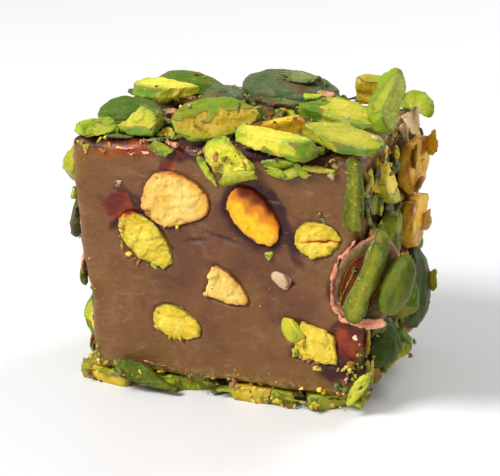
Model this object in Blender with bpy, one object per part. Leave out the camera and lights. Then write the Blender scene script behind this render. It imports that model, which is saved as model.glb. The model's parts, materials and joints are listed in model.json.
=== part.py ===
"""Turkish delight: one piece cut from a bar of pistachio jelly.

Chopped pistachio coats its top, base and two long sides, and whole kernels show where the knife
went through, at the front and at the back.

Metres, +Z up. The piece stands on its nutty base at z = 0, with the front cut towards -Y.
"""

import math
import random
from collections import namedtuple
from itertools import product

import bmesh
import bpy
from mathutils import Euler, Matrix, Vector, noise
from mathutils.bvhtree import BVHTree

MM = 0.001

# Driving dimensions of the jelly block
WIDTH = 40 * MM
DEPTH = 30 * MM
HEIGHT = 33 * MM
BASE_COAT = 2.4 * MM  # thickness of the nuts pressed flat under the block
CLEARANCE = 0.3 * MM  # between neighbouring pieces

# How the soft block has given way
ROUNDING = 1.3 * MM
LEFT_TUCK = 1.9 * MM  # the lower left side is drawn in
TUCK_FULL = 0.28  # share of the height below which it is drawn in fully
TUCK_NONE = 0.58  # and above which it isn't
RIGHT_SPREAD = 0.5 * MM  # the lower right side is squeezed out
DIMPLE = 0.45 * MM  # unevenness of its faces
DIMPLE_SPACING = 7 * MM
FACE_CUTS = 6  # the rows and columns of corners that let a face give way

# How a cut kernel lies in a cut face
PROUD = 0.35 * MM  # it stands out of the jelly by this much

# How a loose nut is laid
LAY_START = 16 * MM  # height above a face that it is let down from
LAY_STEPS = (1 * MM, 0.1 * MM)  # coarse, then fine
LAY_TILTS = (-1, -0.5, 0, 0.5, 1)  # shares of its play that it tries

BLOCK_CENTRE = Vector((0, 0, BASE_COAT + HEIGHT / 2))

TINTS = {
    "amber": (0.30, 0.155, 0.055),
    "cream": (0.80, 0.62, 0.16),
    "yellow": (0.66, 0.56, 0.04),
    "lime": (0.38, 0.47, 0.04),
    "green": (0.15, 0.30, 0.02),
    "dark": (0.05, 0.11, 0.03),
    "gold": (0.50, 0.30, 0.05),
    "skin": (0.33, 0.10, 0.07),
}

# A face of the block: its middle, the way to the right and up as seen from outside, and the way out
Face = namedtuple("Face", "middle right up out")


def block_face(right, up, half_sizes=(WIDTH / 2, DEPTH / 2, HEIGHT / 2)):
    right, up = Vector(right), Vector(up)
    out = right.cross(up)
    reach = Vector(half * way for half, way in zip(half_sizes, out))
    return Face(BLOCK_CENTRE + reach, right, up, out)


FACES = {
    "front": block_face((1, 0, 0), (0, 0, 1)),
    "back": block_face((-1, 0, 0), (0, 0, 1)),
    "right": block_face((0, 1, 0), (0, 0, 1)),
    "left": block_face((0, -1, 0), (0, 0, 1)),
    "top": block_face((1, 0, 0), (0, 1, 0)),
    "base": block_face((1, 0, 0), (0, -1, 0)),
}

# How a kernel is chopped. Each cut keeps what lies behind a plane: the way that the plane faces, and
# how far out it is, as a share of the kernel's reach that way. A kernel is long in x and flat in z.
CUTS = {
    "whole": (),
    "half": (((0, 0, -1), 0.05),),
    "slab": (((0, 0, -1), 0.3), ((0, 0.05, 1), 0.36), ((0.15, 1, 0), 0.66), ((0.8, -0.6, 0), 0.62)),
    "plank": (((0, 0, -1), 0.2), ((0, 0, 1), 0.34), ((0, 1, 0), 0.66), ((0, -1, 0), 0.72),
              ((-0.8, 0.5, 0), 0.62)),
    "strip": (((0, 0, -1), 0.4), ((0, 0.15, 1), 0.5), ((0.05, 1, 0.1), 0.45), ((0, -1, 0.1), 0.5)),
    "shard": (((0, 0, -1), 0.25), ((0.1, 0.2, 1), 0.35), ((0.35, 1, 0.1), 0.3), ((-1, 0.3, 0), 0.7)),
    "chunk": (((0, 0, -1), 0.25), ((0.9, 0.45, 0.1), 0.42), ((-0.9, 0.35, 0.25), 0.5),
              ((0, -0.75, 0.65), 0.6)),
    "end": (((0, 0, -1), 0.2), ((0.95, -0.25, 0.2), 0.1)),
    "ridged": (((0, 0, -1), 0.15), ((0.1, 0.85, 1), 0.45), ((-0.1, -0.9, 0.8), 0.42), ((1, 0.2, 0.6), 0.8)),
    "block": (((0.95, 0.3, 0), 0.55), ((-0.95, 0.15, 0), 0.55), ((0.1, 1, 0), 0.75), ((0, -1, 0), 0.75)),
    "wedge": (((-0.95, -0.2, 0), 0.25),),
    "tile": (((0.2, 1, 0), 0.66), ((0.85, -0.55, 0), 0.62), ((-0.9, -0.3, 0), 0.75)),
}

# A nut on a face. u and v are millimetres to the right and up from the face's middle, seen from
# outside. It is turned in the plane of the face, rolled on its long axis and pitched end over end.
# As it is laid it may roll and pitch by its play, in degrees, to lie lower.
Nut = namedtuple("Nut", "u v turn size cut tint roll pitch play", defaults=(0, 0, 12))

FRONT_KERNELS = (
    Nut(-5.5, 9.0, -4, (9.8, 7.8, 7.6), "whole", "cream", 10, 6),
    Nut(-9.7, 2.8, -44, (9.4, 5.4, 6.6), "whole", "yellow", 0, 8),
    Nut(5.6, 7.6, -50, (9.6, 5.6, 6.6), "whole", "yellow", 20, -12),
    Nut(14.3, 5.5, 4, (6.6, 5.1, 9.0), "whole", "yellow"),
    Nut(0.3, -2.2, -26, (9.8, 4.6, 5.6), "wedge", "cream"),
    Nut(-5.5, -8.6, -18, (7.4, 4.6, 6.0), "whole", "yellow", 0, -8),
    Nut(14.2, -9.4, -10, (10.4, 6.2, 8.0), "block", "yellow"),
    Nut(19.0, 12.0, 90, (10.6, 5.0, 6.0), "strip", "lime"),
    Nut(21.3, 0.8, 70, (13.2, 9.0, 8.4), "whole", "skin"),
)

BACK_KERNELS = (
    Nut(-12.5, 8.5, 30, (10.0, 7.6, 8.0), "whole", "cream", 0, 15),
    Nut(3.0, 9.5, -15, (11.0, 7.0, 7.0), "whole", "yellow", 15, -10),
    Nut(13.0, 2.5, 70, (9.0, 6.4, 7.6), "whole", "yellow", 0, 20),
    Nut(-3.5, -1.0, -40, (8.6, 6.0, 6.6), "whole", "gold", 0, -15),
    Nut(5.0, -9.5, -15, (10.4, 6.6, 7.0), "block", "cream", 25, 8),
)

# Pieces that lie on the front cut: over its top edge, two on the halved kernel at its side, along its foot
FRONT_NUTS = (
    Nut(2.8, 15.6, -32, (8.2, 5.0, 4.4), "slab", "lime"),
    Nut(21.6, 1.6, 73, (14.0, 5.4, 4.6), "strip", "green"),
    Nut(25.5, 0.9, 73, (9.0, 4.4, 4.4), "half", "green"),
    Nut(-9.3, -16.3, -12, (13.6, 3.2, 3.4), "shard", "green"),
)

TOP_NUTS = (
    Nut(-17.6, -12.8, 68, (6.4, 5.0, 6.0), "ridged", "green"),
    Nut(-11.2, -10.4, -20, (8.6, 6.2, 5.6), "chunk", "lime"),
    Nut(6.4, -7.6, 46, (8.8, 4.8, 4.6), "strip", "yellow"),
    Nut(16.6, -10.8, -42, (16.0, 8.4, 6.0), "plank", "lime"),
    Nut(8.8, -15.6, -8, (12.0, 6.4, 4.8), "strip", "lime", 30, 0),
    Nut(-0.6, -12.4, 18, (11.8, 6.2, 5.2), "half", "lime", -126, -6, 4),
    Nut(2.6, 11.2, -3, (15.0, 7.4, 4.6), "half", "dark", 30, 0, 6),
    Nut(13.0, 1.4, -32, (16.6, 7.4, 6.0), "plank", "lime", 16, 0, 6),
    Nut(-15.4, -5.0, 10, (10.0, 6.6, 6.0), "half", "green"),
    Nut(-7.0, -3.4, 60, (8.6, 5.6, 5.4), "shard", "skin"),
    Nut(-0.8, -2.6, 70, (9.0, 6.0, 5.4), "shard", "lime"),
    Nut(-5.8, 4.8, 80, (9.0, 7.0, 6.0), "half", "dark"),
    Nut(-13.4, 3.2, -24, (12.0, 7.4, 6.0), "slab", "lime"),
    Nut(20.4, 12.6, -80, (6.4, 5.4, 5.6), "end", "green"),
    Nut(19.2, 1.4, 101, (16.4, 5.4, 6.0), "ridged", "green", 0, -20, 4),
    Nut(14.8, 12.2, 5, (6.2, 7.4, 4.4), "strip", "yellow", -64),
    Nut(-13.2, 11.8, 4, (11.4, 6.4, 6.0), "half", "green"),
)

RIGHT_NUTS = (
    Nut(7.4, 11.0, 4, (13.0, 8.4, 6.0), "slab", "gold"),
    Nut(8.2, 2.5, 2, (13.2, 8.2, 6.0), "slab", "gold"),
    Nut(-5.0, 11.0, -36, (10.6, 5.4, 5.0), "shard", "yellow"),
    Nut(-5.6, 4.4, 84, (6.2, 4.6, 5.0), "strip", "green"),
    Nut(1.2, -7.0, 70, (9.4, 6.4, 6.0), "chunk", "lime"),
    Nut(-8.4, -10.4, 75, (7.4, 5.6, 6.0), "half", "green"),
    Nut(-1.6, -13.4, 5, (9.0, 5.6, 5.6), "chunk", "lime"),
    Nut(8.6, -8.0, 80, (12.6, 7.4, 6.4), "half", "dark"),
)

# The left side's nuts lie in a loose grid. What follows is in millimetres and degrees.
LEFT_SEED = 5
LEFT_COLUMNS = 2
LEFT_ROWS = 4
LEFT_SPACING = (14, 7.8)
LEFT_STRAY = (1.5, 0.8)
LEFT_TURN = 30
LEFT_SIZES = ((10, 13), (6, 7.6), (5, 6))  # least and greatest length, width and thickness
LEFT_CUTS = ("half", "slab", "half", "slab", "chunk")
LEFT_TINTS = ("green", "lime", "lime", "yellow", "dark")

BASE_NUTS = (
    Nut(-16.2, 12.2, 20, (10.4, 7.4, 0), "tile", "yellow"),
    Nut(-5.6, 11.4, -10, (12.0, 7.4, 0), "tile", "green"),
    Nut(6.6, 12.4, 8, (12.0, 8.0, 0), "tile", "yellow"),
    Nut(15.8, 10.6, -38, (11.0, 7.6, 0), "tile", "lime"),
    Nut(-14.6, 0.4, 75, (14.0, 9.0, 0), "tile", "green"),
    Nut(0.0, 0.0, 15, (15.5, 9.4, 0), "tile", "lime"),
    Nut(14.6, -6.6, 50, (15.0, 9.2, 0), "tile", "green"),
    Nut(-7.0, -11.0, -12, (14.5, 8.6, 0), "tile", "yellow"),
)

KERNEL_SEGMENTS = 10
KERNEL_RINGS = 7
KERNEL_NARROWING = 0.18  # towards its pointed end
KERNEL_DENTS = 0.085  # its unevenness, as a share of its size
DENT_CLOSENESS = 1.3  # how many dents follow each other along half its size
CUT_JITTER = 0.08  # how far a cut's direction strays from the plan
NOISE_SEED = 3


def material(name):
    """The plain finish of one tint, made once."""
    found = bpy.data.materials.get(name)
    if found:
        return found
    made = bpy.data.materials.new(name)
    made.use_nodes = True
    shader = made.node_tree.nodes["Principled BSDF"]
    shader.inputs["Base Color"].default_value = (*TINTS[name], 1)
    shader.inputs["Roughness"].default_value = 0.3 if name == "amber" else 0.6
    shader.inputs["Metallic"].default_value = 0
    made.diffuse_color = (*TINTS[name], 1)
    return made


def new_object(name, bm, tint, collection, parent):
    mesh = bpy.data.meshes.new(name)
    bm.to_mesh(mesh)
    bm.free()
    mesh.materials.append(material(tint))
    made = bpy.data.objects.new(name, mesh)
    made.parent = parent
    collection.objects.link(made)
    return made


def smooth_share(share):
    """0 to 1 with a soft start and end."""
    share = min(1, max(0, share))
    return share * share * (3 - 2 * share)


def slump(point):
    """Where a point of the true block has moved to in the soft one."""
    across = point.x / (WIDTH / 2)
    rise = (point.z - BASE_COAT) / HEIGHT
    drawn_in = smooth_share((TUCK_NONE - rise) / (TUCK_NONE - TUCK_FULL))
    tuck = LEFT_TUCK * drawn_in * max(0, -across)
    spread = RIGHT_SPREAD * (1 - rise) * max(0, across)
    dent = noise.noise_vector(point / DIMPLE_SPACING) * DIMPLE
    dent.z *= rise
    return point + Vector((tuck + spread, 0, 0)) + dent


def jelly_block(collection, parent):
    """The soft block, before the kernels' hollows are taken out."""
    bm = bmesh.new()
    bmesh.ops.create_cube(bm, size=1)
    bmesh.ops.scale(bm, vec=(WIDTH, DEPTH, HEIGHT), verts=bm.verts)
    bmesh.ops.bevel(bm, geom=bm.edges[:], offset=ROUNDING, segments=2, profile=0.5, affect="EDGES")
    long_edges = [edge for edge in bm.edges if edge.calc_length() > 4 * ROUNDING]
    bmesh.ops.subdivide_edges(bm, edges=long_edges, cuts=FACE_CUTS, use_grid_fill=True)
    bmesh.ops.translate(bm, vec=BLOCK_CENTRE, verts=bm.verts)
    for vert in bm.verts:
        vert.co = slump(vert.co)
    bmesh.ops.triangulate(bm, faces=bm.faces)
    return new_object("jelly", bm, "amber", collection, parent)


def kernel(size, seed):
    """A pistachio kernel lying along x: a long egg with a blunt end, a pointed one and uneven sides."""
    length, width, thickness = size
    bm = bmesh.new()
    bmesh.ops.create_uvsphere(bm, u_segments=KERNEL_SEGMENTS, v_segments=KERNEL_RINGS, radius=1)
    bmesh.ops.rotate(bm, matrix=Matrix.Rotation(math.pi / 2, 3, "Y"), verts=bm.verts)
    for vert in bm.verts:
        girth = 1 - KERNEL_NARROWING * vert.co.x
        dent = noise.noise_vector(vert.co * DENT_CLOSENESS + Vector((seed, 0, 0))) * KERNEL_DENTS
        shaped = Vector((vert.co.x, vert.co.y * girth, vert.co.z * girth)) + dent
        vert.co = Vector((shaped.x * length, shaped.y * width, shaped.z * thickness)) * MM / 2
    return bm


def cut_off(bm, way, where):
    """Takes away what lies beyond a plane, and closes the cut."""
    bmesh.ops.bisect_plane(
        bm, geom=bm.verts[:] + bm.edges[:] + bm.faces[:], plane_co=where, plane_no=way, clear_outer=True
    )
    rim = [edge for edge in bm.edges if edge.is_boundary]
    bmesh.ops.holes_fill(bm, edges=rim)
    bmesh.ops.recalc_face_normals(bm, faces=bm.faces)


def chopped(size, cut, seed):
    """One chopped kernel, with its middle near the origin."""
    bm = kernel(size, seed)
    chance = random.Random(seed)
    for way, share in CUTS[cut]:
        jitter = Vector(chance.uniform(-CUT_JITTER, CUT_JITTER) for _ in range(3))
        way = (Vector(way) + jitter).normalized()
        reach = max(vert.co.dot(way) for vert in bm.verts)
        cut_off(bm, way, way * reach * share)
    return bm


def lie(face, nut, height):
    """The place of a nut at a height above a face, with its long axis along the face."""
    turned = Euler((math.radians(nut.roll), math.radians(nut.pitch), 0)).to_matrix()
    turned = Matrix.Rotation(math.radians(nut.turn), 3, "Z") @ turned
    axes = Matrix((face.right, face.up, face.out)).transposed()
    spot = face.middle + (face.right * nut.u + face.up * nut.v) * MM + face.out * height
    return Matrix.Translation(spot) @ (axes @ turned).to_4x4()


def swollen(mesh, place):
    """A mesh's corners in place, pushed out by the clearance, and its faces."""
    corners = [place @ (vert.co + vert.normal * CLEARANCE) for vert in mesh.vertices]
    return corners, [tuple(polygon.vertices) for polygon in mesh.polygons]


class Heap:
    """What is in place already, so that the next nut can be let down onto it."""

    def __init__(self):
        self.corners = []
        self.faces = []
        self.pile = None

    def add(self, mesh, place):
        first = len(self.corners)
        self.corners += [place @ vert.co for vert in mesh.vertices]
        self.faces += [[first + index for index in polygon.vertices] for polygon in mesh.polygons]
        self.pile = BVHTree.FromPolygons(self.corners, self.faces)

    def let_down(self, mesh, place, way):
        """The last place on the way down where the nut still clears the heap."""
        corners, faces = swollen(mesh, place)
        for step in LAY_STEPS:
            fallen = 0
            while fallen < 2 * LAY_START:
                lower = [corner + way * step for corner in corners]
                if BVHTree.FromPolygons(lower, faces).overlap(self.pile):
                    break
                corners = lower
                fallen += step
            place = Matrix.Translation(way * fallen) @ place
        return place

    def settle(self, mesh, face, nut):
        """Where the nut lies lowest, of all the tilts that it may take."""
        places = []
        for roll, pitch in product(LAY_TILTS, LAY_TILTS):
            tilted = nut._replace(roll=nut.roll + roll * nut.play, pitch=nut.pitch + pitch * nut.play)
            places.append(self.let_down(mesh, lie(face, tilted, LAY_START), -face.out))
        return min(places, key=lambda place: max((place @ vert.co).dot(face.out) for vert in mesh.vertices))


def coat(face_name, nuts, heap, collection, parent):
    """Lets each nut down in turn onto a face of the block."""
    face = FACES[face_name]
    for number, nut in enumerate(nuts, 1):
        name = f"{face_name}_nut_{number:02d}"
        made = new_object(name, chopped(nut.size, nut.cut, sum(map(ord, name))), nut.tint, collection, parent)
        place = heap.settle(made.data, face, nut)
        heap.add(made.data, place)
        made.matrix_world = place


def left_nuts():
    """The nuts of the left side, of every cut and tint, some with the flat side out."""
    chance = random.Random(LEFT_SEED)
    for row, column in product(range(LEFT_ROWS), range(LEFT_COLUMNS)):
        u = (column + 0.5 - LEFT_COLUMNS / 2) * LEFT_SPACING[0] + chance.uniform(-1, 1) * LEFT_STRAY[0]
        v = (row + 0.5 - LEFT_ROWS / 2) * LEFT_SPACING[1] + chance.uniform(-1, 1) * LEFT_STRAY[1]
        turn = chance.uniform(-LEFT_TURN, LEFT_TURN)
        size = tuple(chance.uniform(*limits) for limits in LEFT_SIZES)
        cut = chance.choice(LEFT_CUTS)
        tint = chance.choice(LEFT_TINTS)
        yield Nut(u, v, turn, size, cut, tint, chance.choice((0, 180)))


def lay_base(nuts, heap, collection, parent):
    """The nuts that the block stands on: slices of one thickness, pressed flat against the table."""
    thickness = BASE_COAT - CLEARANCE
    face = FACES["base"]
    for number, nut in enumerate(nuts, 1):
        length, width, _ = nut.size
        bm = chopped((length, width, 3 * thickness / MM), nut.cut, number)
        for way in (1, -1):
            cut_off(bm, Vector((0, 0, way)), Vector((0, 0, way * thickness / 2)))
        made = new_object(f"base_nut_{number:02d}", bm, nut.tint, collection, parent)
        place = lie(face, nut, BASE_COAT - thickness / 2)
        heap.add(made.data, place)
        made.matrix_world = place


def set_kernels(face_name, nuts, jelly, cutters, collection, parent):
    """Kernels sunk in a cut face and cut off just proud of it, each in its own hollow."""
    face = FACES[face_name]
    for number, nut in enumerate(nuts, 1):
        name = f"{face_name}_kernel_{number:02d}"
        seed = sum(map(ord, name))
        place = lie(face, nut, 0)
        bm = chopped(nut.size, nut.cut, seed)
        hollow = bm.copy()
        into_kernel = place.inverted()
        plane_way = (into_kernel.to_3x3() @ face.out).normalized()
        cut_off(bm, plane_way, into_kernel @ (face.middle + face.out * PROUD))
        new_object(name, bm, nut.tint, collection, parent).matrix_world = place
        bmesh.ops.recalc_face_normals(hollow, faces=hollow.faces)
        for vert in hollow.verts:
            vert.normal_update()
        pushed = [vert.co + vert.normal * CLEARANCE for vert in hollow.verts]
        for vert, corner in zip(hollow.verts, pushed):
            vert.co = corner
        bmesh.ops.triangulate(hollow, faces=hollow.faces)
        cutter = new_object(name + "_hollow", hollow, "amber", cutters, parent)
        cutter.matrix_world = place
        cutter.hide_render = True
        cutter.display_type = "WIRE"
        taken_out = jelly.modifiers.new(cutter.name, "BOOLEAN")
        taken_out.operation = "DIFFERENCE"
        taken_out.solver = "EXACT"
        taken_out.object = cutter


def stand_on_origin(parent, objects):
    """Moves the whole piece so that the middle of its outline's base is the origin."""
    bpy.context.view_layer.update()
    corners = [made.matrix_world @ vert.co for made in objects for vert in made.data.vertices]
    low = Vector(min(corner[axis] for corner in corners) for axis in range(3))
    high = Vector(max(corner[axis] for corner in corners) for axis in range(3))
    parent.location = (-(low.x + high.x) / 2, -(low.y + high.y) / 2, -low.z)


def main():
    for old in list(bpy.data.objects):
        bpy.data.objects.remove(old)
    noise.seed_set(NOISE_SEED)
    parts = bpy.data.collections.new("turkish_delight")
    cutters = bpy.data.collections.new("hollows")
    bpy.context.scene.collection.children.link(parts)
    bpy.context.scene.collection.children.link(cutters)
    whole = bpy.data.objects.new("turkish_delight", None)
    parts.objects.link(whole)

    jelly = jelly_block(parts, whole)
    set_kernels("front", FRONT_KERNELS, jelly, cutters, parts, whole)
    set_kernels("back", BACK_KERNELS, jelly, cutters, parts, whole)

    heap = Heap()
    heap.add(jelly.data, Matrix.Identity(4))
    for kernel_part in [made for made in parts.objects if "kernel" in made.name]:
        heap.add(kernel_part.data, kernel_part.matrix_world)
    lay_base(BASE_NUTS, heap, parts, whole)
    coat("front", FRONT_NUTS, heap, parts, whole)
    coat("right", RIGHT_NUTS, heap, parts, whole)
    coat("left", left_nuts(), heap, parts, whole)
    coat("top", TOP_NUTS, heap, parts, whole)
    stand_on_origin(whole, [made for made in parts.objects if made.type == "MESH"])


main()
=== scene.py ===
"""Turkish delight: the finish of one square-cut piece of pistachio jelly.

The jelly and every nut are made again from their plain solids with a fine surface. Slivers, chips,
crumbs and flakes of skin too small to be parts fill the coat between them.

Metres, +Z up. The piece stands on its nutty base at z = 0, with the front cut towards -Y.
"""

import json
import math
import random
from collections import namedtuple

import bmesh
import bpy
from mathutils import Euler, Matrix, Vector, noise
from mathutils.bvhtree import BVHTree
from mathutils.geometry import intersect_point_line


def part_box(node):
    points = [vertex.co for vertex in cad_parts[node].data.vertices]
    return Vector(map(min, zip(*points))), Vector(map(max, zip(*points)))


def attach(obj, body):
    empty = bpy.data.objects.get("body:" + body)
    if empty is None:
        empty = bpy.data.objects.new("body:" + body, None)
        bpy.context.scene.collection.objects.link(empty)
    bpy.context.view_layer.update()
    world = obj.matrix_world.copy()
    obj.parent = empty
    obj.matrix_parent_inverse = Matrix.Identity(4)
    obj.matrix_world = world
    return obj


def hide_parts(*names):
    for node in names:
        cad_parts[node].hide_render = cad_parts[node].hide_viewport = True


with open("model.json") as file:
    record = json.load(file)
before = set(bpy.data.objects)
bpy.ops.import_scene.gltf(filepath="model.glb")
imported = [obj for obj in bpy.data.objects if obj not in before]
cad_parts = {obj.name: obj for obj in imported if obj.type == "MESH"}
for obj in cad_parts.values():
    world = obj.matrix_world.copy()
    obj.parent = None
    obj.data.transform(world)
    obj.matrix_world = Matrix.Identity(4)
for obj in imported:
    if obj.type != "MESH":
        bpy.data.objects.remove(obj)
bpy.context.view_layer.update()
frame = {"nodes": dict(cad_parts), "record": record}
noise.seed_set(3)

MM = 0.001

# The jelly block, as it was before it slumped
WIDTH = 40 * MM
DEPTH = 30 * MM
HEIGHT = 33 * MM
BASE_COAT = 2.4 * MM  # thickness of the nuts under it
ROUNDING = 1.3 * MM
LEFT_TUCK = 1.9 * MM
TUCK_FULL = 0.28
TUCK_NONE = 0.58
RIGHT_SPREAD = 0.5 * MM
DIMPLE = 0.45 * MM
DIMPLE_SPACING = 7 * MM
JELLY_CUTS = 115  # each way across a face

# The fine surface of the nuts
NUT_GRAIN = 0.19 * MM
RIND = 1.15 * MM  # how deep the green of the rim goes into a cut face
SKIN = 0.45 * MM  # over how much the cut face turns into skin
SHARP = math.radians(35)
SHADE_RANGE = 1.9  # how many times as bright as the middle one the palest nut of a tint is


def smooth_share(share):
    """0 to 1 with a soft start and end."""
    share = min(1, max(0, share))
    return share * share * (3 - 2 * share)


# ---------------------------------------------------------------- materials


class Finish:
    """A material being put together: its shader, and short ways to add the nodes that feed it."""

    def __init__(self, name):
        self.material = bpy.data.materials.new(name)
        self.material.use_nodes = True
        self.tree = self.material.node_tree
        self.shader = self.tree.nodes["Principled BSDF"]
        self.place = self.tree.nodes.new("ShaderNodeTexCoord").outputs["Object"]

    def node(self, kind, inputs=(), **settings):
        """A node with its settings, and its inputs given as values or as other nodes' outputs."""
        made = self.tree.nodes.new(kind)
        for name, value in settings.items():
            setattr(made, name, value)
        for name, value in dict(inputs).items():
            self.feed(made.inputs[name], value)
        return made

    def feed(self, socket, value):
        if isinstance(value, bpy.types.NodeSocket):
            self.tree.links.new(value, socket)
        elif isinstance(value, tuple) and len(value) == 3 and socket.type == "RGBA":
            socket.default_value = (*value, 1)
        else:
            socket.default_value = value

    def attribute(self, name):
        return self.node("ShaderNodeAttribute", attribute_name=name).outputs["Fac"]

    def noise(self, size, detail=3, roughness=0.55, distortion=0, stretch=(1, 1, 1)):
        """Clouds of about a size in millimetres, 0 to 1 about 0.5."""
        place = self.place
        if stretch != (1, 1, 1):
            place = self.node("ShaderNodeMapping", {"Vector": place, "Scale": stretch}).outputs["Vector"]
        inputs = {"Vector": place, "Scale": 1 / (size * MM), "Detail": detail, "Roughness": roughness}
        inputs["Distortion"] = distortion
        return self.node("ShaderNodeTexNoise", inputs).outputs["Fac"]

    def cells(self, size):
        return self.node("ShaderNodeTexVoronoi", {"Vector": self.place, "Scale": 1 / (size * MM)})

    def streaks(self, size):
        """Streaks along each nut, whose own place for a point is kept on its surface."""
        along = self.node("ShaderNodeAttribute", attribute_name="grain").outputs["Vector"]
        along = self.node("ShaderNodeMapping", {"Vector": along, "Scale": (0.16, 1, 1)}).outputs["Vector"]
        inputs = {"Vector": along, "Scale": 1 / (size * MM), "Detail": 4, "Roughness": 0.65}
        return self.node("ShaderNodeTexNoise", inputs).outputs["Fac"]

    def spots(self, spacing, radius, chosen):
        """Scattered dots, on as many cells of a spacing in millimetres as lie over the chosen share."""
        cell = self.cells(spacing)
        dot = self.remap(cell.outputs["Distance"], radius, radius * 0.6)
        red = self.node("ShaderNodeSeparateColor", {"Color": cell.outputs["Color"]}).outputs["Red"]
        return self.times(dot, self.remap(red, chosen, 1, 0.2, 1))

    def remap(self, value, low, high, to_low=0.0, to_high=1.0):
        inputs = {"Value": value, "From Min": low, "From Max": high, "To Min": to_low, "To Max": to_high}
        return self.node("ShaderNodeMapRange", inputs, interpolation_type="SMOOTHSTEP").outputs["Result"]

    def maths(self, operation, first, second=0.0):
        made = self.node("ShaderNodeMath", operation=operation, use_clamp=False)
        self.feed(made.inputs[0], first)
        self.feed(made.inputs[1], second)
        return made.outputs[0]

    def times(self, first, second):
        return self.maths("MULTIPLY", first, second)

    def mix(self, share, first, second, blend="MIX"):
        """One colour over another."""
        made = self.node("ShaderNodeMix", data_type="RGBA", blend_type=blend)
        for index, value in ((0, share), (6, first), (7, second)):
            self.feed(made.inputs[index], value)
        return made.outputs[2]

    def bump(self, height, depth, below=None):
        """Relief of a depth in millimetres, over any other."""
        inputs = {"Height": height, "Distance": depth * MM, "Strength": 1.0}
        made = self.node("ShaderNodeBump", inputs)
        if below is not None:
            self.feed(made.inputs["Normal"], below)
        return made.outputs["Normal"]

    def set(self, **values):
        """Sets or links the shader's sockets, whose names are given with _ for a space."""
        for name, value in values.items():
            self.feed(self.shader.inputs[name.replace("_", " ").title().replace("Ior", "IOR")], value)
        return self.material


JELLY_MIDDLE = (0.180, 0.076, 0.021)
JELLY_SHADED_DEEP = (0.136, 0.048, 0.018)
JELLY_LIT_THIN = (0.182, 0.084, 0.008)
JELLY_PALE = (0.28, 0.155, 0.065)
JELLY_RED = (0.092, 0.027, 0.008)


def jelly_finish():
    """Cloudy amber jelly: painted shade makes it browner and darker in the thick middle, and painted light, as if
    shone through the thin jelly, makes it olive at its edges; dark red where a kernel lies just under the surface,
    with painted shadow along the top edge under the nuts, flecks, pits darkened with painted shade and the marks of
    the knife."""
    finish = Finish("amber_jelly")
    clouds = finish.noise(9, detail=2)
    wisps = finish.noise(3.0, detail=6, roughness=0.65, distortion=0.4, stretch=(0.8, 1, 1.15))
    edge = finish.attribute("edge")
    # Painted light and shade: the thin jelly near the block's edges lighter and olive, as if lit through, and the
    # thick middle darker
    lit_thinness = finish.maths("ADD", edge, finish.remap(clouds, 0.3, 0.7, -0.3, 0.3))
    colour = finish.mix(finish.remap(lit_thinness, -0.05, 0.4), JELLY_SHADED_DEEP, JELLY_MIDDLE)
    colour = finish.mix(finish.remap(lit_thinness, 0.5, 1.1), colour, JELLY_LIT_THIN)
    colour = finish.mix(finish.remap(wisps, 0.5, 0.72, 0.0, 0.45), colour, JELLY_PALE)
    colour = finish.mix(finish.remap(wisps, 0.47, 0.28, 0.0, 0.55), colour, JELLY_RED)
    grain = finish.noise(0.55, detail=4, roughness=0.75)
    colour = finish.mix(finish.remap(grain, 0.55, 0.75, 0.0, 0.3), colour, JELLY_PALE)
    colour = finish.mix(finish.remap(grain, 0.45, 0.25, 0.0, 0.35), colour, JELLY_RED)
    scum = finish.attribute("scum")
    crust = finish.remap(finish.noise(1.1, detail=4), 0.42, 0.6)
    colour = finish.mix(finish.times(scum, crust), colour, (0.36, 0.24, 0.06))
    halo = finish.attribute("halo")
    halo = finish.times(halo, finish.remap(finish.noise(2.2, detail=2), 0.25, 0.6, 0.7, 1))
    # Near black red: stains round the kernels, and painted shadow along the top edge under the nuts
    colour = finish.mix(finish.remap(halo, 0.0, 0.8), colour, (0.040, 0.006, 0.005))
    inside = finish.mix(finish.remap(finish.noise(2.6), 0.38, 0.62), (0.12, 0.006, 0.002), (0.34, 0.050, 0.005))
    depth = finish.maths("ADD", finish.attribute("sunk"), finish.remap(finish.noise(0.9, detail=4), 0.3, 0.7, -0.3, 0.3))
    colour = finish.mix(finish.remap(depth, 0.15, 0.95, 0.0, 0.9), colour, inside)
    smears = finish.noise(1.1, detail=4, distortion=0.8, stretch=(0.45, 1, 1.1))
    colour = finish.mix(finish.remap(smears, 0.60, 0.76, 0.0, 0.3), colour, (0.40, 0.28, 0.15))
    colour = finish.mix(finish.remap(smears, 0.40, 0.28, 0.0, 0.4), colour, JELLY_RED)
    colour = finish.mix(finish.spots(1.45, 0.10, 0.80), colour, (0.55, 0.42, 0.22))
    colour = finish.mix(finish.spots(2.1, 0.08, 0.78), colour, (0.03, 0.010, 0.005))
    # Painted shade: the bubbles' pits darkened
    colour = finish.mix(finish.times(finish.attribute("bubble"), 0.75), colour, (0.035, 0.012, 0.008))
    relief = finish.bump(finish.noise(0.7, detail=4, roughness=0.65), 0.13)
    relief = finish.bump(smears, 0.14, relief)
    finish.set(
        base_color=colour,
        roughness=finish.remap(finish.noise(2.0, detail=3), 0.3, 0.7, 0.34, 0.5),
        specular_ior_level=0.28,
        subsurface_weight=0.3,
        subsurface_radius=(2.4 * MM, 0.9 * MM, 0.35 * MM),
        subsurface_scale=1.0,
        coat_weight=0.06,
        coat_roughness=0.2,
        normal=relief,
    )
    return finish.material


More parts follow.
